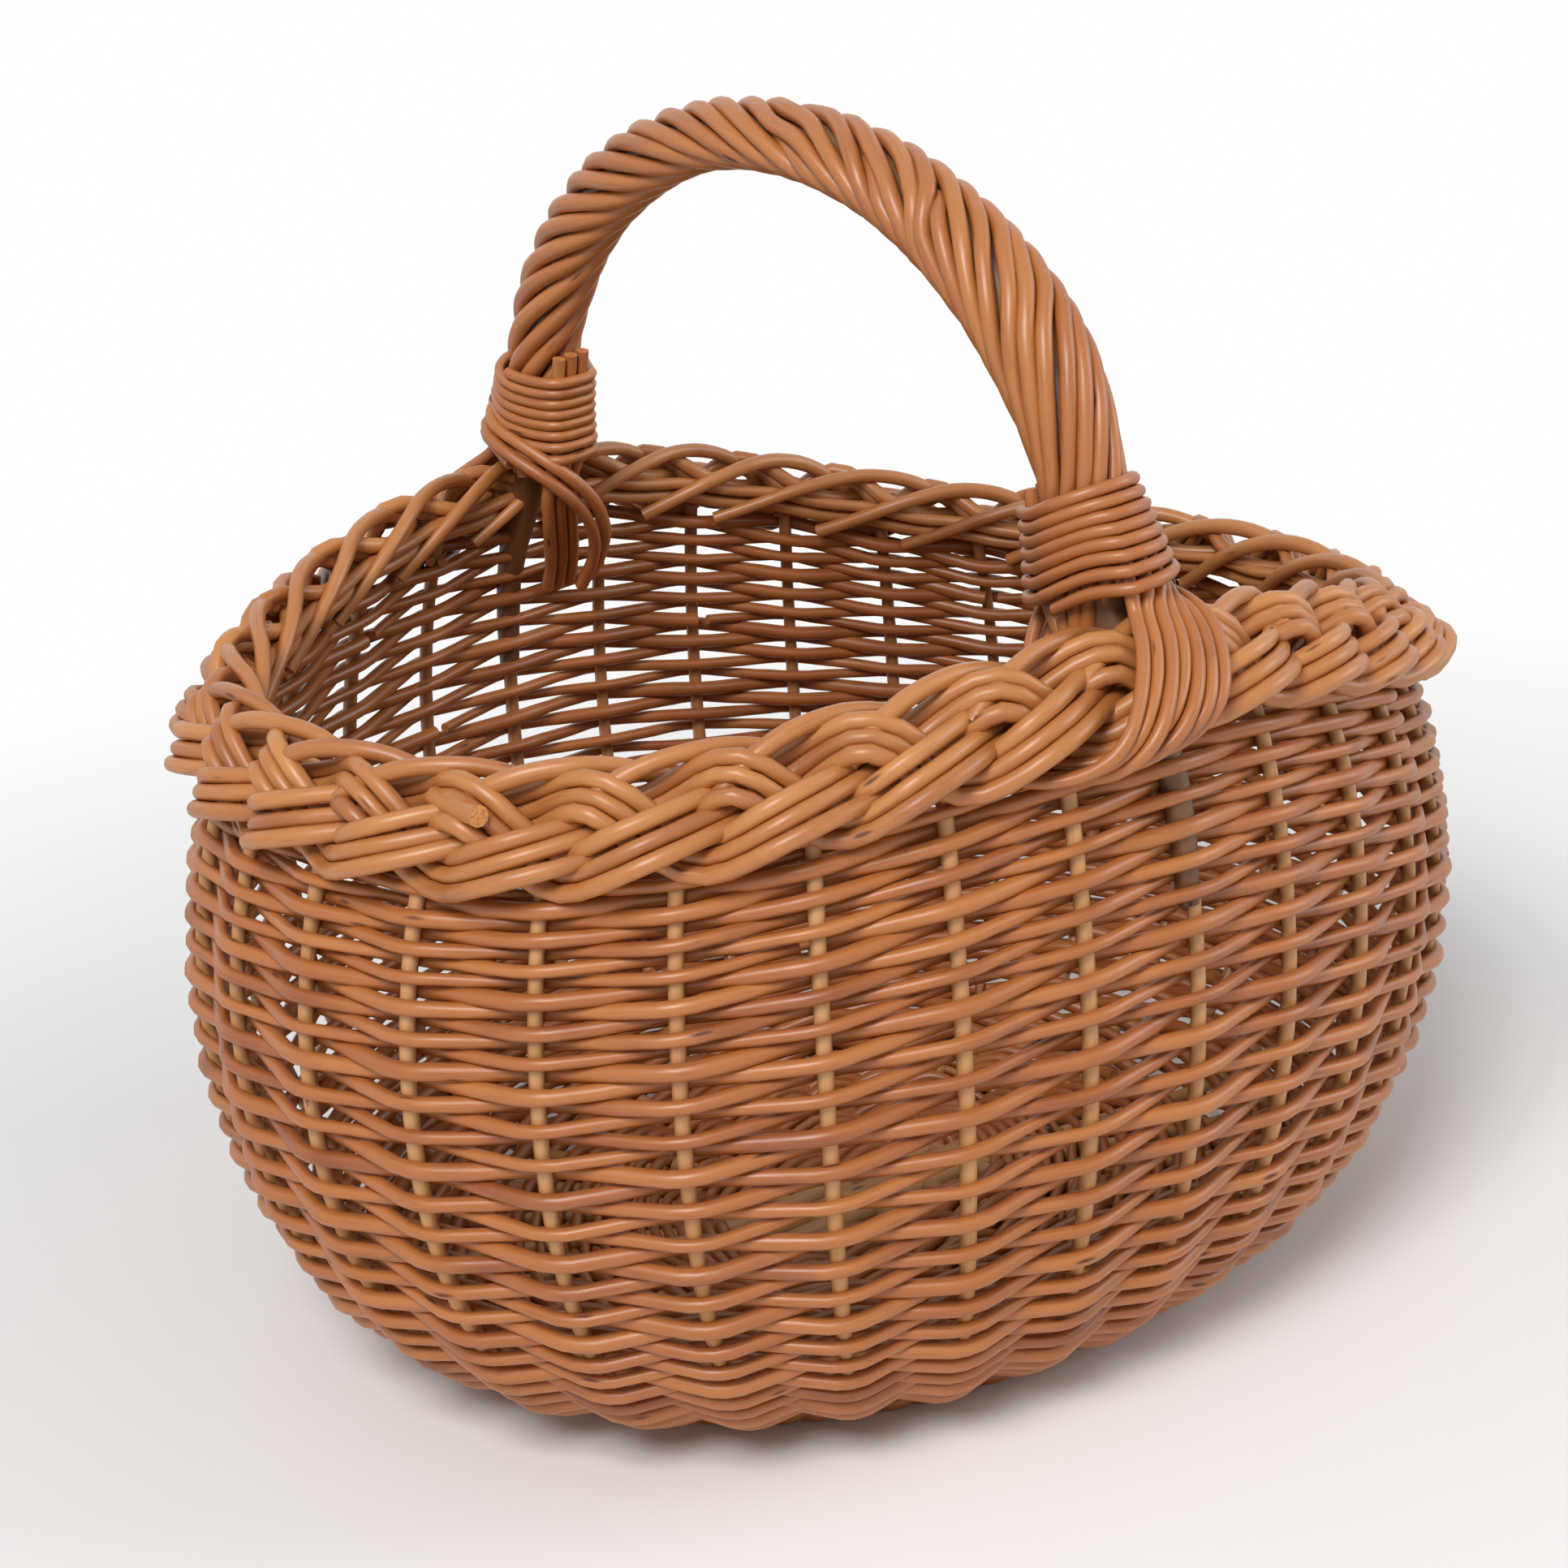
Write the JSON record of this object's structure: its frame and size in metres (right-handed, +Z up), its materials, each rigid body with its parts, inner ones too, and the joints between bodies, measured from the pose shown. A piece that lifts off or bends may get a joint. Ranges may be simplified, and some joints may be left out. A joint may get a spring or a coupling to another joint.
{
  "type": "mushroom foraging basket",
  "caption": "oval bellied willow basket with a plaited border, a flat foot ring, and a roped bow handle across its width tied to the rim with bound feet",
  "frame": {"origin": "centre of the basket's outline seen from above, on the surface that the foot ring stands on", "axes": "+X along the oval's long way, towards the end where the rim dips more; the handle stands across it, in a plane of constant X, with its near leg at -Y and its far leg at +Y; +Z up"},
  "size_m": [0.4032, 0.3384, 0.3537],
  "materials": {
    "stake_willow": "buff willow, semi-matt, slightly paler than the weavers",
    "weaver_willow": "buff willow rods, satin, orange-brown with darker joints",
    "foot_willow": "buff willow, satin",
    "border_willow": "buff willow rods laid flat and plaited, satin",
    "bow_wood": "darker willow stick with bark left on in places, matt",
    "rope_willow": "buff willow rods, satin"
  },
  "bodies": {
    "root": {"base_sticks": "stake_willow", "stake_01": "stake_willow", "stake_02": "stake_willow", "stake_03": "stake_willow", "stake_04": "stake_willow", "stake_05": "stake_willow", "stake_06": "stake_willow", "stake_07": "stake_willow", "stake_08": "stake_willow", "stake_09": "stake_willow", "stake_10": "stake_willow", "stake_11": "stake_willow", "stake_12": "stake_willow", "stake_13": "stake_willow", "stake_14": "stake_willow", "stake_15": "stake_willow", "stake_16": "stake_willow", "stake_17": "stake_willow", "stake_18": "stake_willow", "stake_19": "stake_willow", "stake_20": "stake_willow", "stake_21": "stake_willow", "stake_22": "stake_willow", "stake_23": "stake_willow", "stake_24": "stake_willow", "stake_25": "stake_willow", "stake_26": "stake_willow", "stake_27": "stake_willow", "stake_28": "stake_willow", "stake_29": "stake_willow", "stake_30": "stake_willow", "stake_31": "stake_willow", "base_weave": "weaver_willow", "heart_weaver_1": "weaver_willow", "heart_weaver_2": "weaver_willow", "siding_lower": "weaver_willow", "siding_belly": "weaver_willow", "siding_middle": "weaver_willow", "siding_upper": "weaver_willow", "foot_wale": "foot_willow", "border_plait": "border_willow", "handle_bow": "bow_wood", "rope_rod_1": "rope_willow", "rope_rod_2": "rope_willow", "rope_rod_3": "rope_willow", "rope_rod_4": "rope_willow", "rope_rod_5": "rope_willow", "rope_rod_6": "rope_willow", "rope_rod_7": "rope_willow", "rope_rod_8": "rope_willow", "rope_rod_9": "rope_willow", "near_binding": "rope_willow", "far_binding": "rope_willow", "near_peg_1": "rope_willow", "near_peg_2": "rope_willow", "near_peg_3": "rope_willow", "far_peg_1": "rope_willow", "far_peg_2": "rope_willow", "far_peg_3": "rope_willow"}
  },
  "joints": []
}
